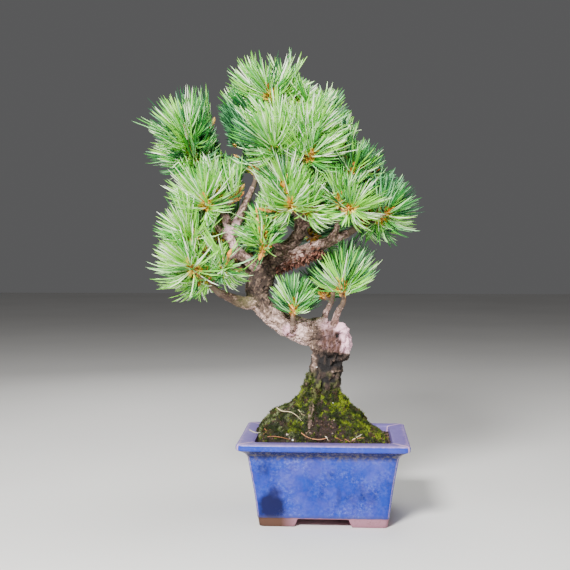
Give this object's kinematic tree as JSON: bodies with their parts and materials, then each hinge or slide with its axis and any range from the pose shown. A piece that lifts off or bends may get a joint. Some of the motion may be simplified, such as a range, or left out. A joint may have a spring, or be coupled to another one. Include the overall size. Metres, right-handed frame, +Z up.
{
  "type": "japanese white pine bonsai",
  "caption": "Small potted pine with a bent, tapering trunk, tufts of short needles on spreading boughs and a mossy root mound in a glazed rectangular pot.",
  "frame": {"origin": "middle of the plant's own box, in plan, at the underside of the pot's feet", "axes": "+Z up, -Y towards the viewer of the picture, +X to its right"},
  "size_m": [0.1786, 0.14, 0.3043],
  "materials": {
    "glaze": "mottled blue glaze, worn on the rim, bare clay at the feet",
    "soil": "dark potting grit",
    "moss": "short moss over soil and surface roots",
    "bark": "rough, flaking bark",
    "needles": "green needles with pale stripes"
  },
  "bodies": {
    "root": {"bough_back": "bark", "bough_back_high": "bark", "bough_back_low": "bark", "bough_centre": "bark", "bough_front": "bark", "bough_graft": "bark", "bough_graft_back": "bark", "bough_inner": "bark", "bough_inner_left": "bark", "bough_left": "bark", "bough_left_low": "bark", "bough_left_side": "bark", "bough_low_left": "bark", "bough_right": "bark", "bough_right_mid": "bark", "bough_right_top": "bark", "bough_stub": "bark", "bough_top_left": "bark", "bough_top_right": "bark", "bough_upper_left": "bark", "foliage_back": "needles", "foliage_back_high": "needles", "foliage_back_low": "needles", "foliage_centre": "needles", "foliage_front": "needles", "foliage_graft": "needles", "foliage_graft_back": "needles", "foliage_inner": "needles", "foliage_inner_left": "needles", "foliage_left": "needles", "foliage_left_low": "needles", "foliage_left_side": "needles", "foliage_low_left": "needles", "foliage_right_end": "needles", "foliage_right_mid": "needles", "foliage_right_top": "needles", "foliage_stub": "needles", "foliage_top": "needles", "foliage_top_left": "needles", "foliage_top_right": "needles", "foliage_upper_left": "needles", "moss_mound": "moss", "pot": "glaze", "soil": "soil", "trunk": "bark"}
  },
  "joints": []
}
